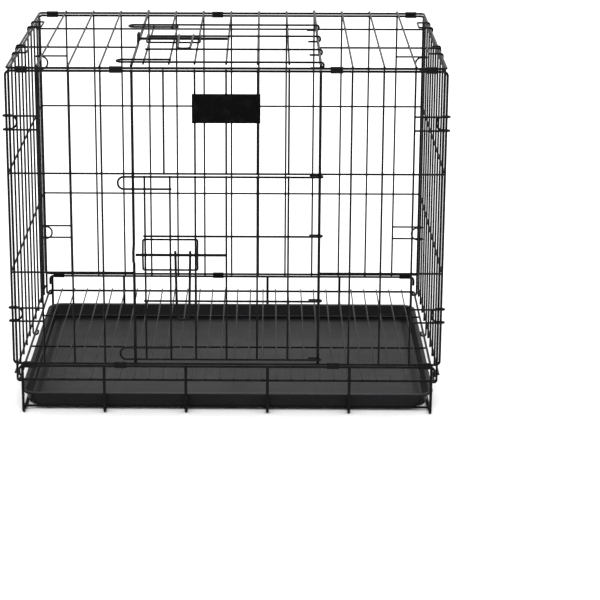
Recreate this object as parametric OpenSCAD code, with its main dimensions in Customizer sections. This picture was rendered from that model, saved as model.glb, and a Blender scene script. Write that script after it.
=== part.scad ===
/* [Crate] */
// Length over the edge wires of the long panels
crate_l = 610; // [480:5:760]
// Depth over the frames of the long panels
crate_w = 430; // [340:5:520]
// Height from the ground to the top of the roof frame
crate_h = 508; // [420:5:620]
// Height of the wire that the long panels hinge on
base_h = 73; // [66:1:100]
// Height of the grid floor
floor_h = 50; // [45:1:55]

/* [Wires] */
// Diameter of the frame wires
frame_d = 3.4; // [2.8:0.1:4]
// Diameter of the wires inside a frame
infill_d = 2.8; // [2:0.1:3]
// Diameter of the hinge and strike wires and of the base's uprights
heavy_d = 4; // [3.2:0.1:4.4]
// Diameter of the door wires
door_d = 3; // [2.4:0.1:3.2]
// Diameter of the fine wires of the grid floor
fine_d = 2; // [1.6:0.1:2.4]
// Depth that two crossing wires sink into each other at a weld
weld = 0.4; // [0.2:0.1:0.5]

/* [Panels] */
// Spaces between the uprights of a long panel
columns = 14; // [12:2:18]
// Spaces between the uprights of an end panel
end_columns = 10; // [8:2:12]
// Height of the lower cross wire above a long panel's bottom wire
lower_row = 136; // [110:1:150]
// Height of the upper cross wire, which is the door's lintel
upper_row = 280; // [250:1:300]
// Distance of the roof's first long wire from its front wire
roof_row = 148; // [120:1:165]
// Distance of the roof door's far side from the front wire
roof_opening = 292; // [260:1:305]
// Fine wires across the grid floor
fine_count = 28; // [20:1:36]
// Spaces between the cross wires of the base
base_spans = 5; // [4:1:7]

/* [Doors] */
// Column that carries the strike
strike_column = 4; // [3:1:5]
// Column that the door hinges on
hinge_column = 10; // [9:1:11]
// Gap between the strike wire and the door's first upright
door_gap = 16; // [14:1:20]
// Distance that the hairpins reach past the strike wire
hairpin_reach = 21; // [16:1:26]
// Spacing of a hairpin's two legs
hairpin_w = 17.5; // [14:0.5:20]
// Length of the tail behind the hinge wire
curl_tail = 14; // [8:1:18]

/* [Latch] */
// Diameter of the sliding bolt
bolt_d = 4; // [3.6:0.1:5]
// Diameter of the handle's wire
handle_d = 3.6; // [3:0.1:3.8]
// Length of the handle below the bolt
handle_l = 94; // [70:1:100]
// Spacing of the handle's legs at the bolt
handle_w = 21; // [18:0.5:22]
// Height of the guide loop
guide_h = 44.6; // [38:0.2:48]
// Distance of the bolt from the door wire beside it
bolt_drop = 27; // [26:0.5:32]
// Height of the bump in the strike wire
strike_rise = 12.6; // [11:0.2:14]

/* [Tray] */
// Height of the tray
tray_h = 21.5; // [16:0.5:30]
// Thickness of the tray's walls and floor
tray_wall = 2; // [1.5:0.1:3]
// Radius of the tray's corners
tray_r = 24; // [12:1:30]

/* [Fits] */
// Clearance between a wire and the wire that turns round it
turn_gap = 0.4; // [0.3:0.05:0.6]
// Clearance between parts that slide past each other
slide_gap = 0.3; // [0.2:0.05:0.5]
// Gap between two frame wires held in one clip
clip_gap = 0.6; // [0.4:0.1:1]
// Distance of the end panels' edges from the long panels' frames
end_inset = 12.5; // [12.5:0.5:16]

/* [Hidden] */
$fn = 24;

// radii
frame_r = frame_d / 2;
infill_r = infill_d / 2;
heavy_r = heavy_d / 2;
door_r = door_d / 2;
fine_r = fine_d / 2;
bolt_r = bolt_d / 2;
handle_r = handle_d / 2;

// bends: an elbow is a hair thicker than its wire, and the wire runs a little way into it
elbow_step = 0.03;
elbow_lap = 0.3;
corner_bend = 6;
tight_bend = 2.5;

// planes of the walls
half_l = crate_l / 2 - frame_r;
half_w = crate_w / 2 - frame_r;
pitch = 2 * half_l / columns;
pair = frame_d + clip_gap;
roof_z = crate_h - frame_r;
panel_bottom = base_h + pair;
panel_top = roof_z - pair;
layer = frame_r + infill_r - weld;
heavy_layer = frame_r + heavy_r - weld;

// door, measured from the hinge and strike wires
curl_r = heavy_r + door_r + turn_gap;
door_out = curl_r - heavy_layer;
door_upright_out = door_out - (door_r + infill_r - weld);
door_foot = 7;
door_head = 4.5;
door_rows = [0, 0.32, 0.675, 1];
door_left = column(strike_column) + door_gap;
door_right = column(hinge_column) - curl_tail;
door_second = (door_left + column(strike_column + 2)) / 2;
bolt_out = door_upright_out + infill_r + slide_gap + bolt_r;
bolt_start = column(strike_column) + heavy_r + 0.6;
bolt_end = column(strike_column + 3) - 1;
guide_out = door_upright_out + 2 * infill_r - weld;
guide_bow_out = bolt_out + bolt_r + slide_gap + infill_r;
guide_side = 3;
guide_bow = 9;
handle_x = (door_second + column(strike_column + 2)) / 2;
handle_gap = 0.1;
handle_stub = 7;
strike_half = 14;

// end panels, floor and roof ends
end_x = half_l - 2.7;
eye_r = frame_r + frame_r + turn_gap;
hinge_x = end_x - eye_r;
end_half = half_w - end_inset;
end_pitch = 2 * end_half / end_columns;
end_drop = 1;
end_top = panel_top - end_drop;
end_bottom = floor_h + 9;
roof_half_l = half_l - 1.5;

// base
base_half_l = half_l - 11;
base_pitch = 2 * base_half_l / base_spans;
upright_y = half_w - heavy_layer;
floor_half_w = upright_y - heavy_r + weld - frame_r;
base_long_z = 2 * heavy_r + frame_r - weld;
base_long_y = upright_y - 15;
tray_z = base_long_z + frame_r + 0.2;
tray_half_l = half_l - 6;
tray_half_w = upright_y - heavy_r - 1.5;

// corner hooks
hook_half = 9.8;
hook_tip = 5;
hook_tongue = 13;
hook_turn = 5.4;
hook_bend = 2.4;
hook_heights = [panel_bottom + 72, panel_top - 74];

// clips
clip_l = 17;
clip_wall = 1;
clip_slack = 0.1;

// name plate
plate_h = 41;
plate_drop = 32;
plate_t = 2.2;
plate_side = 4;

wire_colour = "#1b1b1b";
tray_colour = "#2b2b2d";

function column(i) = -half_l + i * pitch;
function end_column(i) = -end_half + i * end_pitch;
function unit(v) = v / norm(v);
function turn(a, b, c) = acos(max(-1, min(1, unit(b - a) * unit(c - b))));
function trim(a, b, c, r) = r * tan(turn(a, b, c) / 2);

// straight wire from a to b
module rod(a, b, d) {
    s = b - a;
    translate(a) rotate([0, acos(s.z / norm(s)), atan2(s.y, s.x)]) cylinder(h = norm(s), d = d);
}

// bend of radius r at b, on the way from a to c
module elbow(a, b, c, d, r) {
    u = unit(b - a);
    v = unit(c - b);
    n = unit(v - (u * v) * u);
    k = cross(-n, u);
    o = b - trim(a, b, c, r) * u + r * n;
    multmatrix([[-n.x, u.x, k.x, o.x], [-n.y, u.y, k.y, o.y], [-n.z, u.z, k.z, o.z]])
        rotate_extrude(angle = turn(a, b, c), $fn = 48)
            translate([r, 0]) circle(d = d + 2 * elbow_step, $fn = 24);
}

// wire through the points, with a bend of radius r, or of the radii in the list r, at the points between the ends
module bent_wire(points, d, r) {
    last = len(points) - 1;
    radii = is_list(r) ? r : [for (i = [1 : last - 1]) r];
    for (i = [0 : last - 1]) {
        a = points[i];
        b = points[i + 1];
        u = unit(b - a);
        from = i == 0 ? 0 : trim(points[i - 1], a, b, radii[i - 1]) - elbow_lap;
        to = i == last - 1 ? 0 : trim(a, b, points[i + 2], radii[i]) - elbow_lap;
        rod(a + from * u, b - to * u, d);
    }
    for (i = [1 : last - 1]) elbow(points[i - 1], points[i], points[i + 1], d, radii[i - 1]);
}

// closed wire through the points; it starts and ends in the middle of the first side
module wire_loop(points, d, r) {
    middle = (points[0] + points[1]) / 2;
    start = middle - 0.5 * unit(points[1] - points[0]);
    bent_wire(concat([start], [for (i = [1 : len(points) - 1]) points[i]], [points[0], middle]), d, r);
}

// walls are drawn flat, with x along the wall, y up it and z out of the crate
module as_front() { translate([0, -half_w, 0]) rotate([90, 0, 0]) children(); }
module as_back() { mirror([0, 1, 0]) as_front() children(); }
module as_roof() { translate([0, -half_w, roof_z]) children(); }
// the roof's door hangs on a wire above the frame
module as_roof_door() { as_roof() translate([0, 0, 2 * heavy_layer]) children(); }
module as_left() { translate([-end_x, 0, 0]) rotate([90, 0, -90]) children(); }
module as_right() { mirror([1, 0, 0]) as_left() children(); }

module frame_rectangle(x0, y0, x1, y1) {
    wire_loop([[x0, y0, 0], [x1, y0, 0], [x1, y1, 0], [x0, y1, 0]], frame_d, corner_bend);
}

// upright wires between heights y0 and y1, on the frame's inside where face is -1 and on its outside where it is 1
module uprights(numbers, y0, y1, face) {
    for (i = numbers) rod([column(i), y0, face * layer], [column(i), y1, face * layer], infill_d);
}

// the strike wire, with a bump that the bolt slides behind
module strike_wire(y0, y1, at, face) {
    x = column(strike_column);
    low = face * heavy_layer;
    high = low + strike_rise;
    bent_wire([
        [x, y0, low], [x, at - strike_half, low], [x, at - strike_half / 2, high],
        [x, at + strike_half / 2, high], [x, at + strike_half, low], [x, y1, low]
    ], heavy_d, 4);
}

module hinge_wire(y0, y1, face) {
    z = face * heavy_layer;
    rod([column(hinge_column), y0, z], [column(hinge_column), y1, z], heavy_d);
}

// wire across a wall in the plane of its frame
module cross_wire(x0, x1, y) { rod([x0, y, 0], [x1, y, 0], infill_d); }

// end of a roof wire that hooks down over the end frame
module hooked_end(side, y) {
    rise = frame_r + infill_r;
    outside = roof_half_l + rise + 0.1;
    bent_wire([
        [side * (roof_half_l - 20), y, 0], [side * (roof_half_l - 12), y, 0],
        [side * (roof_half_l - 5), y, rise - weld], [side * outside, y, rise - weld],
        [side * outside, y, -3.4]
    ], infill_d, tight_bend);
}

// a door: rows of wire with a hairpin at each end
function door_y(foot, head, i) = head - door_rows[i] * (head - foot);
function bolt_y(foot, head) = door_y(foot, head, 1) - bolt_drop;

module hairpin(y_long, y_short) {
    tip = column(strike_column) - hairpin_reach;
    bent_wire([
        [door_second + 2.5, y_short, door_out], [tip, y_short, door_out],
        [tip, y_long, door_out], [door_right, y_long, door_out]
    ], door_d, hairpin_w / 2 - 0.2);
}

module door(foot, head) {
    hairpin(door_y(foot, head, 0), door_y(foot, head, 0) - hairpin_w);
    hairpin(door_y(foot, head, 3), door_y(foot, head, 3) + hairpin_w);
    for (i = [1, 2]) let (y = door_y(foot, head, i))
        rod([door_left - 2.5, y, door_out], [door_right, y, door_out], door_d);
    lines = concat([door_left, door_second], [for (i = [strike_column + 2 : hinge_column - 1]) column(i)]);
    for (x = lines)
        rod([x, foot - 1, door_upright_out], [x, head + 1, door_upright_out], infill_d);
}

// the ends of a door's rows, turned round the hinge wire
module door_curls(foot, head) {
    x = column(hinge_column) + curl_r;
    for (i = [0 : 3]) let (y = door_y(foot, head, i)) bent_wire([
        [door_right, y, door_out], [x, y, door_out],
        [x, y, door_out - 2 * curl_r], [door_right, y, door_out - 2 * curl_r]
    ], door_d, curl_r - 0.3);
}

// closed loop whose sides bow over the bolt
module latch_guide(at) {
    x0 = door_left - guide_side;
    x1 = column(strike_column + 2) + guide_side;
    h = guide_h / 2;
    wire_loop([
        [x0, at + h, guide_out], [x1, at + h, guide_out],
        [x1, at + guide_bow, guide_bow_out], [x1, at - guide_bow, guide_bow_out],
        [x1, at - h, guide_out], [x0, at - h, guide_out],
        [x0, at - guide_bow, guide_bow_out], [x0, at + guide_bow, guide_bow_out]
    ], infill_d, tight_bend);
}

module latch_bolt(at) { rod([bolt_start, at, bolt_out], [bolt_end, at, bolt_out], bolt_d); }

module latch_handle(at) {
    z = bolt_out + bolt_r + handle_r + handle_gap;
    w = handle_w / 2;
    bent_wire([
        [handle_x - w, at + handle_stub, z], [handle_x - w + 2, at - handle_l, z],
        [handle_x + w - 2, at - handle_l, z], [handle_x + w, at + handle_stub, z]
    ], handle_d, 7);
}

// a wire welded inside a long panel's edge, which turns back past the corner; side is -1 or 1
module corner_hook(side, at) {
    z = -layer;
    inner = z - hook_turn;
    tip = half_l + hook_tip;
    tongue = half_l - hook_tongue;
    round_end = hook_half - 0.2;
    bent_wire([
        [side * (half_l - pitch), at + hook_half, z], [side * tip, at + hook_half, z],
        [side * tip, at + hook_half, inner], [side * tongue, at + hook_half, inner],
        [side * tongue, at - hook_half, inner], [side * tip, at - hook_half, inner],
        [side * tip, at - hook_half, z], [side * (half_l - pitch), at - hook_half, z]
    ], infill_d, [hook_bend, hook_bend, round_end, round_end, hook_bend, hook_bend]);
}

module corner_hooks(side) { for (at = hook_heights) corner_hook(side, at); }

// two hooks over each end of the roof; side is -1 or 1
module roof_hooks(side) {
    z = frame_r + infill_r - weld;
    outside = side * (end_x + frame_r + infill_r + turn_gap);
    inside = side * (roof_half_l - 17);
    for (i = [2, end_columns - 3]) {
        y0 = half_w + end_column(i);
        y1 = half_w + end_column(i + 1);
        bent_wire([
            [outside, y0, -10], [outside, y0, z], [inside, y0, z],
            [inside, y1, z], [outside, y1, z], [outside, y1, -10]
        ], infill_d, 3);
    }
}

// end panel: uprights inside, cross wires outside, and eyes round the floor's end wire
module eye(x, d) {
    bend = eye_r - 0.3;
    bent_wire([
        [x, floor_h + 12, 0], [x, floor_h - eye_r, 0], [x, floor_h - eye_r, -2 * eye_r],
        [x, floor_h + 3, -2 * eye_r]
    ], d, bend);
}

module end_panel() {
    bent_wire([
        [-end_half, floor_h + 11, 0], [-end_half, end_top, 0],
        [end_half, end_top, 0], [end_half, floor_h + 11, 0]
    ], frame_d, corner_bend);
    for (x = [-end_half, end_half]) eye(x, frame_d);
    eye(0, infill_d);
    for (i = [1 : end_columns - 1]) {
        foot = i == end_columns / 2 ? floor_h + 11 : end_bottom - 2;
        rod([end_column(i), foot, 0], [end_column(i), end_top, 0], infill_d);
    }
    for (y = [end_bottom, panel_bottom + lower_row, panel_bottom + upper_row])
        rod([-end_half - 2, y, layer], [end_half + 2, y, layer], infill_d);
}

// outline with two round ends, for a sleeve round two wires
function sleeve_outline(r) = concat(
    [for (a = [0 : 15 : 180]) [r * cos(a), pair / 2 + r * sin(a)]],
    [for (a = [180 : 15 : 360]) [r * cos(a), -pair / 2 + r * sin(a)]]
);

module clip(x, y, z) {
    r = frame_r + clip_slack;
    translate([x, y, z]) rotate([90, 0, 90]) linear_extrude(clip_l, center = true) difference() {
        polygon(sleeve_outline(r + clip_wall));
        polygon(sleeve_outline(r));
    }
}

// clips halfway between the columns that are counted from the left
module clips(places, side, z) { for (i = places) clip(column(i + 0.5), side * half_w, z); }

module round_plate(l, w, r, h) {
    linear_extrude(h) union() {
        square([l - 2 * r, w], center = true);
        square([l, w - 2 * r], center = true);
        for (x = [-1, 1], y = [-1, 1]) translate([x * (l / 2 - r), y * (w / 2 - r)]) circle(r, $fn = 48);
    }
}

// sub-parts

module base_frame() {
    color(wire_colour) {
        for (i = [0 : base_spans]) {
            x = -base_half_l + i * base_pitch;
            bent_wire([
                [x, -upright_y, base_h + 1], [x, -upright_y, heavy_r],
                [x, upright_y, heavy_r], [x, upright_y, base_h + 1]
            ], heavy_d, 4);
        }
        for (y = [-half_w, half_w]) bent_wire([
            [-base_half_l - 4, y, base_h - 14], [-base_half_l - 4, y, base_h],
            [base_half_l + 4, y, base_h], [base_half_l + 4, y, base_h - 14]
        ], frame_d, corner_bend);
        for (y = [-base_long_y, 0, base_long_y])
            rod([-base_half_l - 3, y, base_long_z], [base_half_l + 3, y, base_long_z], frame_d);
    }
}

module floor_grid() {
    spacing = 2 * hinge_x / (fine_count + 1);
    fine_z = floor_h + frame_r + fine_r - weld;
    color(wire_colour) {
        wire_loop([
            [-hinge_x, -floor_half_w, floor_h], [hinge_x, -floor_half_w, floor_h],
            [hinge_x, floor_half_w, floor_h], [-hinge_x, floor_half_w, floor_h]
        ], frame_d, 4);
        for (y = [roof_row, roof_opening])
            rod([-hinge_x, y - half_w, floor_h], [hinge_x, y - half_w, floor_h], infill_d);
        for (i = [1 : fine_count]) {
            x = -hinge_x + i * spacing;
            rod([x, -floor_half_w - 3, fine_z], [x, floor_half_w + 3, fine_z], fine_d);
        }
    }
}

module tray() {
    l = 2 * tray_half_l;
    w = 2 * tray_half_w;
    rim = 2;
    color(tray_colour) translate([0, 0, tray_z]) difference() {
        union() {
            round_plate(l - 2 * rim, w - 2 * rim, tray_r - rim, tray_h);
            translate([0, 0, tray_h - tray_wall]) round_plate(l, w, tray_r, tray_wall);
        }
        translate([0, 0, tray_wall]) round_plate(
            l - 2 * (rim + tray_wall), w - 2 * (rim + tray_wall), tray_r - rim - tray_wall, tray_h
        );
    }
}

module front_panel() {
    lintel = panel_bottom + upper_row;
    row = panel_bottom + lower_row;
    at = bolt_y(panel_bottom + door_foot, lintel - door_head);
    over_door = [strike_column + 1 : hinge_column - 1];
    color(wire_colour) as_front() {
        frame_rectangle(-half_l, panel_bottom, half_l, panel_top);
        uprights([1 : strike_column - 1], panel_bottom - 1, panel_top + 1, -1);
        uprights([hinge_column + 1 : columns - 1], panel_bottom - 1, panel_top + 1, -1);
        uprights(over_door, lintel - 1, panel_top + 1, -1);
        strike_wire(panel_bottom - 1, panel_top + 1, at, -1);
        hinge_wire(panel_bottom - 1, panel_top + 1, -1);
        cross_wire(-half_l, half_l, lintel);
        cross_wire(-half_l, column(strike_column) + 1, row);
        cross_wire(column(hinge_column) - 1, half_l, row);
    }
}

module back_panel() {
    color(wire_colour) as_back() {
        frame_rectangle(-half_l, panel_bottom, half_l, panel_top);
        uprights([1 : columns - 1], panel_bottom - 1, panel_top + 1, -1);
        for (y = [lower_row, upper_row]) cross_wire(-half_l, half_l, panel_bottom + y);
    }
}

module top_panel() {
    back = 2 * half_w;
    at = bolt_y(door_foot, roof_opening - door_head);
    color(wire_colour) as_roof() {
        frame_rectangle(-roof_half_l, 0, roof_half_l, back);
        uprights([1 : strike_column - 1], -1, back + 1, 1);
        uprights([hinge_column + 1 : columns - 1], -1, back + 1, 1);
        uprights([strike_column + 1 : hinge_column - 1], roof_opening - 1, back + 1, 1);
        strike_wire(-1, back + 1, at, 1);
        hinge_wire(-1, back + 1, 1);
        cross_wire(-roof_half_l + 19, roof_half_l - 19, roof_opening);
        cross_wire(-roof_half_l + 19, column(strike_column) + 1, roof_row);
        cross_wire(column(hinge_column) - 1, roof_half_l - 19, roof_row);
        for (side = [-1, 1], y = [roof_row, roof_opening]) hooked_end(side, y);
    }
}

module front_bottom_clips() {
    color(wire_colour) clips([0, strike_column - 1, hinge_column, columns - 1], -1, base_h + pair / 2);
}
module back_bottom_clips() {
    color(wire_colour) clips([0, floor(columns / 2) - 1, columns - 1], 1, base_h + pair / 2);
}
module front_top_clips() {
    color(wire_colour) clips([0, strike_column - 1, hinge_column, columns - 1], -1, roof_z - pair / 2);
}
module back_top_clips() {
    color(wire_colour) clips([0, floor(columns / 2) - 1, columns - 1], 1, roof_z - pair / 2);
}

module front_left_corner_hooks() { color(wire_colour) as_front() corner_hooks(-1); }
module front_right_corner_hooks() { color(wire_colour) as_front() corner_hooks(1); }
module back_left_corner_hooks() { color(wire_colour) as_back() corner_hooks(-1); }
module back_right_corner_hooks() { color(wire_colour) as_back() corner_hooks(1); }

module left_roof_hooks() { color(wire_colour) as_roof() roof_hooks(-1); }
module right_roof_hooks() { color(wire_colour) as_roof() roof_hooks(1); }

module left_end_panel() { color(wire_colour) as_left() end_panel(); }
module right_end_panel() { color(wire_colour) as_right() end_panel(); }

// a blank plate that snaps on to two uprights beside the door
module name_plate() {
    x0 = column(strike_column + 2);
    x1 = column(strike_column + 4);
    top = panel_top - plate_drop;
    face = plate_t - layer + infill_r;
    grip = infill_r + slide_gap / 2;
    color("#111111") as_front() difference() {
        union() {
            translate([x0 - plate_side, top - plate_h, face - plate_t])
                cube([x1 - x0 + 2 * plate_side, plate_h, plate_t]);
            for (x = [x0, x1], y = [top - plate_h + 4, top - 12])
                translate([x - 3, y, -layer - 1]) cube([6, 8, layer + 1 + face - plate_t / 2]);
        }
        for (x = [x0, x1]) {
            rod([x, top - plate_h - 1, -layer], [x, top + 1, -layer], 2 * grip);
            translate([x - grip + 0.2, top - plate_h - 1, -layer - 3]) cube([2 * grip - 0.4, plate_h + 2, 3]);
        }
    }
}

module front_door() {
    color(wire_colour) as_front() door(panel_bottom + door_foot, panel_bottom + upper_row - door_head);
}
module front_door_curls() {
    color(wire_colour) as_front()
        door_curls(panel_bottom + door_foot, panel_bottom + upper_row - door_head);
}
module front_latch_guide() {
    color(wire_colour) as_front()
        latch_guide(bolt_y(panel_bottom + door_foot, panel_bottom + upper_row - door_head));
}
module front_latch_bolt() {
    color(wire_colour) as_front()
        latch_bolt(bolt_y(panel_bottom + door_foot, panel_bottom + upper_row - door_head));
}
module front_latch_handle() {
    color(wire_colour) as_front()
        latch_handle(bolt_y(panel_bottom + door_foot, panel_bottom + upper_row - door_head));
}

module top_door() { color(wire_colour) as_roof_door() door(door_foot, roof_opening - door_head); }
module top_door_curls() { color(wire_colour) as_roof_door() door_curls(door_foot, roof_opening - door_head); }
module top_latch_guide() {
    color(wire_colour) as_roof_door() latch_guide(bolt_y(door_foot, roof_opening - door_head));
}
module top_latch_bolt() {
    color(wire_colour) as_roof_door() latch_bolt(bolt_y(door_foot, roof_opening - door_head));
}
module top_latch_handle() {
    color(wire_colour) as_roof_door() latch_handle(bolt_y(door_foot, roof_opening - door_head));
}

base_frame();
floor_grid();
tray();
front_panel();
back_panel();
top_panel();
front_bottom_clips();
back_bottom_clips();
front_top_clips();
back_top_clips();
front_left_corner_hooks();
front_right_corner_hooks();
back_left_corner_hooks();
back_right_corner_hooks();
left_roof_hooks();
right_roof_hooks();
left_end_panel();
right_end_panel();
name_plate();
front_door();
front_door_curls();
front_latch_guide();
front_latch_bolt();
front_latch_handle();
top_door();
top_door_curls();
top_latch_guide();
top_latch_bolt();
top_latch_handle();
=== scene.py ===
import math

import bpy
from mathutils import Matrix, Vector


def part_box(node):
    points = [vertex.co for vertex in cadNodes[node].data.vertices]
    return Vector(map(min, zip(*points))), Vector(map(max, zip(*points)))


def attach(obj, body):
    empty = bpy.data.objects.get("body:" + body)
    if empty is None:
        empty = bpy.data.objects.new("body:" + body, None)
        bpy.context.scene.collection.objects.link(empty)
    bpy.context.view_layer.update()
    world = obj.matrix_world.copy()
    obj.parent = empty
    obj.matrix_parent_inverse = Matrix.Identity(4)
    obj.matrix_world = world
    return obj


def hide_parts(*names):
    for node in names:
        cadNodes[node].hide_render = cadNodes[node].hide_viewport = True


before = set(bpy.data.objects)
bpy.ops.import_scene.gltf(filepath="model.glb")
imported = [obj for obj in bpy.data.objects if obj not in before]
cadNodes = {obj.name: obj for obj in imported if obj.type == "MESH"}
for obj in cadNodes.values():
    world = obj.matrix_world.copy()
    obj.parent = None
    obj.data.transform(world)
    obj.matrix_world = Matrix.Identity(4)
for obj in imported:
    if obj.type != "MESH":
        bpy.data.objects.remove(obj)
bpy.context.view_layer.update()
print("crate frame loaded,", len(cadNodes), "nodes")


# shader maths: a signal is one output socket, and an expression on signals adds its Math nodes
class Signal:
    def __init__(self, finish, socket):
        self.finish = finish
        self.socket = socket

    def maths(self, operation, first, second):
        return self.finish.add("ShaderNodeMath", {"operation": operation}, {0: first, 1: second})

    def __add__(self, other): return self.maths("ADD", self, other)
    def __radd__(self, other): return self.maths("ADD", other, self)
    def __sub__(self, other): return self.maths("SUBTRACT", self, other)
    def __rsub__(self, other): return self.maths("SUBTRACT", other, self)
    def __mul__(self, other): return self.maths("MULTIPLY", self, other)
    def __rmul__(self, other): return self.maths("MULTIPLY", other, self)


class Finish:
    def __init__(self, name):
        self.material = bpy.data.materials.new(name)
        self.material.use_nodes = True
        self.tree = self.material.node_tree
        self.tree.nodes.clear()

    def add(self, kind, settings, inputs, output=0):
        made = self.tree.nodes.new(kind)
        for key, value in settings.items():
            if key == "stops":
                elements = made.color_ramp.elements
                while len(elements) < len(value):
                    elements.new(0.5)
                for element, (place, tone) in zip(elements, value):
                    element.position = place
                    element.color = (tone, tone, tone, 1)
            else:
                setattr(made, key, value)
        for key, value in inputs.items():
            if isinstance(value, Signal):
                self.tree.links.new(value.socket, made.inputs[key])
            else:
                made.inputs[key].default_value = value
        return Signal(self, made.outputs[output])

    def place(self):
        return self.add("ShaderNodeTexCoord", {}, {}, "Object")

    def noise(self, scale, detail=3.0, roughness=0.5):
        return self.add("ShaderNodeTexNoise", {}, {
            "Vector": self.place(), "Scale": scale, "Detail": detail, "Roughness": roughness,
        }, "Fac")

    def ramp(self, value, stops):
        return self.add("ShaderNodeValToRGB", {"stops": stops}, {"Fac": value}, "Color")

    def blend(self, mask, low, high):
        return self.add("ShaderNodeMix", {"data_type": "RGBA"}, {"Factor": mask, 6: low, 7: high}, 2)

    def bump(self, height, strength, distance):
        return self.add("ShaderNodeBump", {}, {
            "Height": height, "Strength": strength, "Distance": distance,
        }, "Normal")

    def close(self, shader):
        bsdf = self.add("ShaderNodeBsdfPrincipled", {}, shader)
        out = self.tree.nodes.new("ShaderNodeOutputMaterial")
        self.tree.links.new(bsdf.socket, out.inputs["Surface"])
        return self.material


# finishes
wireLook = {
    "black": (0.002, 0.002, 0.0022, 1), "dusty": (0.005, 0.005, 0.0055, 1),
    "thin": (0.014, 0.014, 0.015, 1), "dustScale": 38.0, "thinScale": 220.0, "sheenScale": 60.0,
    "peelScale": 900.0, "dripScale": 120.0, "roughness": 0.34, "roughnessSpread": 0.14, "gloss": 0.07,
}


def coatedWireFinish():
    f = Finish("coatedWire")
    w = wireLook
    dust = f.ramp(f.noise(w["dustScale"], 4.0, 0.6), [(0.42, 0.0), (0.68, 1.0)])
    thin = f.ramp(f.noise(w["thinScale"], 2.0), [(0.6, 0.0), (0.74, 1.0)])
    tone = f.blend(dust, w["black"], w["dusty"])
    tone = f.blend(thin * 0.35, tone, w["thin"])
    peel = f.noise(w["peelScale"], 2.0)
    drip = f.noise(w["dripScale"], 2.0)
    return f.close({
        "Base Color": tone,
        "Roughness": w["roughness"] + f.noise(w["sheenScale"]) * w["roughnessSpread"],
        "Specular IOR Level": w["gloss"],
        "Normal": f.bump(peel * 0.35 + drip * 0.65, 0.35, 0.0004),
    })


trayLook = {
    "black": (0.0045, 0.0045, 0.005, 1), "worn": (0.011, 0.011, 0.013, 1),
    "pale": (0.03, 0.03, 0.034, 1), "cloudScale": 7.0, "speckScale": 330.0, "grainScale": 620.0,
    "scuffScale": 5.0, "scuffStretch": (3.0, 60.0, 3.0), "scuffTurn": (0, 0, 0.35),
    "roughness": 0.38, "gloss": 0.07,
}


def trayFinish():
    f = Finish("trayPlastic")
    t = trayLook
    cloud = f.ramp(f.noise(t["cloudScale"], 5.0, 0.62), [(0.38, 0.0), (0.7, 1.0)])
    speck = f.ramp(f.noise(t["speckScale"], 2.0), [(0.62, 0.0), (0.72, 1.0)])
    streaks = f.add("ShaderNodeMapping", {}, {
        "Vector": f.place(), "Scale": t["scuffStretch"], "Rotation": t["scuffTurn"],
    })
    scuff = f.add("ShaderNodeTexNoise", {}, {
        "Vector": streaks, "Scale": t["scuffScale"], "Detail": 4.0,
    }, "Fac")
    scuffs = f.ramp(scuff, [(0.6, 0.0), (0.75, 1.0)])
    tone = f.blend(cloud * 0.6, t["black"], t["worn"])
    tone = f.blend(speck * 0.25 + scuffs * 0.2, tone, t["pale"])
    grain = f.noise(t["grainScale"], 3.0, 0.6)
    return f.close({
        "Base Color": tone,
        "Roughness": t["roughness"] + cloud * 0.12 + scuffs * 0.1,
        "Specular IOR Level": t["gloss"],
        "Normal": f.bump(grain + scuffs * 0.2, 0.25, 0.0006),
    })


plateLook = {
    "black": (0.002, 0.002, 0.002, 1), "rubbed": (0.005, 0.005, 0.0052, 1),
    "rubScale": 90.0, "grainScale": 1500.0, "roughness": 0.62, "gloss": 0.02,
}


def plateFinish():
    f = Finish("platePlastic")
    p = plateLook
    rubbed = f.ramp(f.noise(p["rubScale"], 4.0, 0.6), [(0.48, 0.0), (0.7, 1.0)])
    grain = f.noise(p["grainScale"], 2.0)
    return f.close({
        "Base Color": f.blend(rubbed, p["black"], p["rubbed"]),
        "Roughness": p["roughness"] - rubbed * 0.12,
        "Specular IOR Level": p["gloss"],
        "Normal": f.bump(grain, 0.3, 0.0003),
    })


def floorFinish():
    f = Finish("studioFloor")
    return f.close({"Base Color": (0.93, 0.93, 0.93, 1), "Roughness": 0.9})


coatedWire = coatedWireFinish()
trayPlastic = trayFinish()
platePlastic = plateFinish()
nodeFinishes = {"tray": trayPlastic, "name_plate": platePlastic}
for name, node in cadNodes.items():
    node.data.materials.clear()
    node.data.materials.append(nodeFinishes.get(name, coatedWire))
print("finishes made")


# modelling helpers
def startPiece():
    if bpy.context.object and bpy.context.object.mode != "OBJECT":
        bpy.ops.object.mode_set(mode="OBJECT")
    bpy.ops.object.select_all(action="DESELECT")


def addBlock(name, low, high):
    startPiece()
    low, high = Vector(low), Vector(high)
    bpy.ops.mesh.primitive_cube_add(size=1, location=(low + high) / 2)
    piece = bpy.context.object
    piece.name = name
    piece.scale = high - low
    bpy.ops.object.transform_apply(location=True, rotation=True, scale=True)
    return piece


def pickFaces(piece, wanted):
    bpy.ops.object.mode_set(mode="EDIT")
    bpy.ops.mesh.select_mode(type="FACE")
    bpy.ops.mesh.select_all(action="DESELECT")
    bpy.ops.object.mode_set(mode="OBJECT")
    for face in piece.data.polygons:
        face.select = wanted(face)
    bpy.ops.object.mode_set(mode="EDIT")


def pickEdges(piece, wanted):
    bpy.ops.object.mode_set(mode="EDIT")
    bpy.ops.mesh.select_mode(type="EDGE")
    bpy.ops.mesh.select_all(action="DESELECT")
    bpy.ops.object.mode_set(mode="OBJECT")
    points = piece.data.vertices
    for edge in piece.data.edges:
        edge.select = wanted(*(points[i].co for i in edge.vertices))
    bpy.ops.object.mode_set(mode="EDIT")


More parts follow.
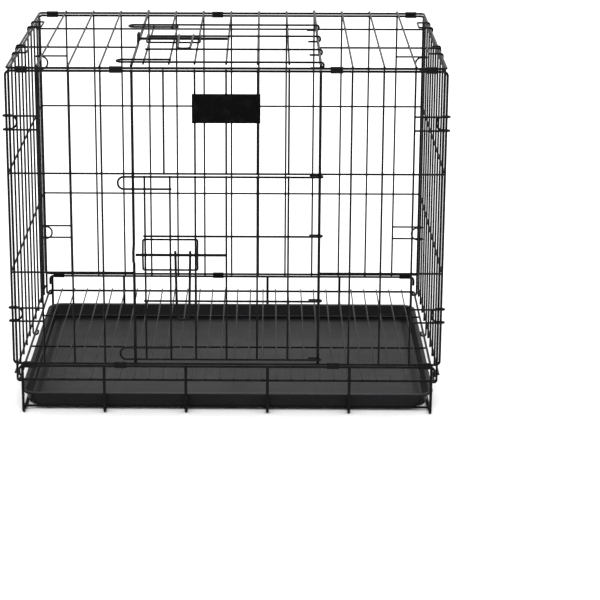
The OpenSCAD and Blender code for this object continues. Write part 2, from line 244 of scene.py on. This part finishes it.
def softenEdges(piece, width, segments, degrees):
    bpy.ops.object.mode_set(mode="OBJECT")
    rounding = piece.modifiers.new("rounding", "BEVEL")
    rounding.width = width
    rounding.segments = segments
    rounding.limit_method = "ANGLE"
    rounding.angle_limit = math.radians(degrees)
    bpy.ops.object.modifier_apply(modifier=rounding.name)
    bpy.ops.object.shade_smooth_by_angle(angle=math.radians(degrees))


def scaleFor(length, width, grow):
    return (1 + 2 * grow / length, 1 + 2 * grow / width, 1)


# tray: sloped walls, a turned-out rim and a raised floor
trayShape = {
    "cornerRadius": 0.022, "cornerSteps": 8, "slope": 0.006, "rimWidth": 0.004, "rimHeight": 0.0022,
    "wall": 0.0022, "channelWidth": 0.008, "floorStep": 0.003, "floorRise": 0.0012, "softEdge": 0.0006,
}


def makeTray():
    t = trayShape
    low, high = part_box("tray")
    neck = t["rimWidth"]
    wallTop = high.z - t["rimHeight"]
    piece = addBlock(
        "trayShell", (low.x + neck, low.y + neck, low.z), (high.x - neck, high.y - neck, wallTop))
    pickEdges(piece, lambda a, b: abs(a.z - b.z) > 0.01)
    bpy.ops.mesh.bevel(offset=t["cornerRadius"], segments=t["cornerSteps"], affect="EDGES")
    length, width = high.x - low.x - 2 * neck, high.y - low.y - 2 * neck
    pickFaces(piece, lambda face: face.normal.z < -0.9)
    bpy.ops.transform.resize(value=scaleFor(length, width, -t["slope"]))
    pickFaces(piece, lambda face: face.normal.z > 0.9)
    bpy.ops.mesh.extrude_region_move(TRANSFORM_OT_translate={"value": (0, 0, 0)})
    bpy.ops.transform.resize(value=scaleFor(length, width, neck))
    bpy.ops.mesh.extrude_region_move(TRANSFORM_OT_translate={"value": (0, 0, t["rimHeight"])})
    bpy.ops.mesh.inset(thickness=neck + t["wall"], use_even_offset=True)
    depth = high.z - low.z - t["wall"]
    bpy.ops.mesh.extrude_region_move(TRANSFORM_OT_translate={"value": (0, 0, -depth)})
    bpy.ops.transform.resize(value=scaleFor(length, width, -t["slope"]))
    bpy.ops.mesh.inset(thickness=t["channelWidth"], use_even_offset=True)
    bpy.ops.mesh.inset(thickness=t["floorStep"], depth=t["floorRise"], use_even_offset=True)
    bpy.ops.mesh.inset(thickness=t["floorStep"], use_even_offset=True)
    bpy.ops.mesh.poke()
    pickFaces(piece, lambda face: face.normal.z < -0.9)
    bpy.ops.mesh.inset(thickness=t["floorStep"], use_even_offset=True)
    bpy.ops.mesh.poke()
    softenEdges(piece, t["softEdge"], 2, 28)
    piece.data.materials.append(trayPlastic)
    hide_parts("tray")
    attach(piece, "tray")


makeTray()
print("tray made")


# plate: a thin cushioned face with a sunk panel
plateShape = {
    "margin": 0.0004, "proud": 0.0007, "buried": 0.0008, "corner": 0.0032,
    "border": 0.0022, "step": 0.0006, "sunk": 0.0004, "softEdge": 0.0003,
}


def makePlateFace():
    p = plateShape
    low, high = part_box("name_plate")
    back = low.y + p["buried"]
    piece = addBlock(
        "plateFace", (low.x + p["margin"], low.y - p["proud"], low.z + p["margin"]),
        (high.x - p["margin"], back, high.z - p["margin"]))
    pickEdges(piece, lambda a, b: abs(a.y - b.y) > 0.001)
    bpy.ops.mesh.bevel(offset=p["corner"], segments=4, affect="EDGES")
    pickFaces(piece, lambda face: face.normal.y < -0.9)
    bpy.ops.mesh.inset(thickness=p["border"], use_even_offset=True)
    bpy.ops.mesh.inset(thickness=p["step"], depth=-p["sunk"], use_even_offset=True)
    softenEdges(piece, p["softEdge"], 2, 30)
    piece.data.materials.append(platePlastic)
    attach(piece, "base")


makePlateFace()
print("plate face made")


# welds: a small swollen bead of coating where the long walls' and roof's wires cross
weldShape = {"radius": 0.0021, "flat": 0.72, "halfLayer": 0.00135}
gridLayout = {
    "columns": 14, "strikeColumn": 4, "hingeColumn": 10, "frameRadius": 0.0017, "crateHeight": 0.508,
    "lowerRow": 0.136, "upperRow": 0.280, "roofRow": 0.148, "roofOpening": 0.292,
}


def makeBead(spot, stretch):
    startPiece()
    bpy.ops.mesh.primitive_ico_sphere_add(subdivisions=2, radius=weldShape["radius"])
    bead = bpy.context.object
    bpy.ops.object.mode_set(mode="EDIT")
    bpy.ops.mesh.select_all(action="SELECT")
    bpy.ops.transform.resize(value=stretch)
    bpy.ops.transform.translate(value=spot)
    bpy.ops.object.mode_set(mode="OBJECT")
    bpy.ops.object.shade_smooth()
    return bead


def copyBeads(name, spots, stretch):
    first = makeBead(spots[0], stretch)
    beads = [first]
    for spot in spots[1:]:
        bead = first.copy()
        bead.data = first.data.copy()
        bead.data.transform(Matrix.Translation(Vector(spot) - Vector(spots[0])))
        bpy.context.scene.collection.objects.link(bead)
        beads.append(bead)
    startPiece()
    for bead in beads:
        bead.select_set(True)
    bpy.context.view_layer.objects.active = first
    bpy.ops.object.join()
    first.name = name
    first.data.name = name
    first.data.materials.append(coatedWire)
    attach(first, "base")


def columnPlaces():
    low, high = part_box("front_panel")
    edge = high.x - gridLayout["frameRadius"]
    pitch = 2 * edge / gridLayout["columns"]
    return [-edge + i * pitch for i in range(gridLayout["columns"] + 1)]


def makeWelds():
    g, b = gridLayout, weldShape
    columns = columnPlaces()
    inner = range(1, g["columns"])
    overDoor = range(g["strikeColumn"] + 1, g["hingeColumn"])
    frontLow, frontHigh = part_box("front_panel")
    backLow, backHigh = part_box("back_panel")
    bottom = backLow.z + g["frameRadius"]
    top = backHigh.z - g["frameRadius"]
    backY = backHigh.y - g["frameRadius"]
    frontY = -backY
    rows = [bottom, bottom + g["lowerRow"], bottom + g["upperRow"], top]
    front = [(columns[i], frontY + b["halfLayer"], z) for i in inner for z in rows
             if not (i in overDoor and z < rows[2])
             and i not in (g["strikeColumn"], g["hingeColumn"])]
    back = [(columns[i], backY - b["halfLayer"], z) for i in inner for z in rows]
    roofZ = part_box("base_frame")[0].z + g["crateHeight"] - g["frameRadius"]
    roofRows = [frontY, frontY + g["roofRow"], frontY + g["roofOpening"], backY]
    roof = [(columns[i], y, roofZ + b["halfLayer"]) for i in inner for y in roofRows
            if not (i in overDoor and y < roofRows[2])
            and i not in (g["strikeColumn"], g["hingeColumn"])]
    copyBeads("frontWelds", front, (1, b["flat"], 1))
    copyBeads("backWelds", back, (1, b["flat"], 1))
    copyBeads("roofWelds", roof, (1, 1, b["flat"]))


makeWelds()
print("welds made")


# studio
studio = {
    "floorSize": 30.0, "worldStrength": 1.0, "viewTransform": "Standard", "aim": (0, 0, 0.25),
    "lights": [
        ("keyLight", (-1.6, -2.6, 3.2), 2.2, 75.0), ("fillLight", (2.4, -1.8, 2.2), 2.0, 45.0),
        ("backLight", (0.4, 2.6, 2.6), 2.4, 60.0),
    ],
}


def makeStudio():
    startPiece()
    bpy.ops.mesh.primitive_plane_add(size=studio["floorSize"], location=(0, 0, 0))
    floor = bpy.context.object
    floor.name = "studioFloor"
    floor.data.materials.append(floorFinish())
    world = bpy.data.worlds.new("studioAir")
    world.use_nodes = True
    world.node_tree.nodes["Background"].inputs["Color"].default_value = (1, 1, 1, 1)
    world.node_tree.nodes["Background"].inputs["Strength"].default_value = studio["worldStrength"]
    bpy.context.scene.world = world
    bpy.context.scene.view_settings.view_transform = studio["viewTransform"]
    for name, spot, size, power in studio["lights"]:
        bpy.ops.object.light_add(type="AREA", location=spot)
        light = bpy.context.object
        light.name = name
        light.data.size = size
        light.data.energy = power
        towards = Vector(studio["aim"]) - Vector(spot)
        light.rotation_euler = towards.to_track_quat("-Z", "Y").to_euler()


cameraView = {
    "spot": (0.055, -2.9305, 1.0673), "turn": -0.0139, "pitch": 0.2759,
    "focalPixels": 2022.9, "imagePixels": 600, "shift": (0.1023, -0.1417), "sensor": 36.0,
}


def makeCamera():
    c = cameraView
    bpy.ops.object.camera_add(location=c["spot"], rotation=(math.pi / 2 - c["pitch"], 0, -c["turn"]))
    camera = bpy.context.object
    camera.data.sensor_width = c["sensor"]
    camera.data.lens = c["focalPixels"] / c["imagePixels"] * c["sensor"]
    camera.data.shift_x, camera.data.shift_y = c["shift"]
    bpy.context.scene.camera = camera


makeStudio()
makeCamera()
print("studio made")
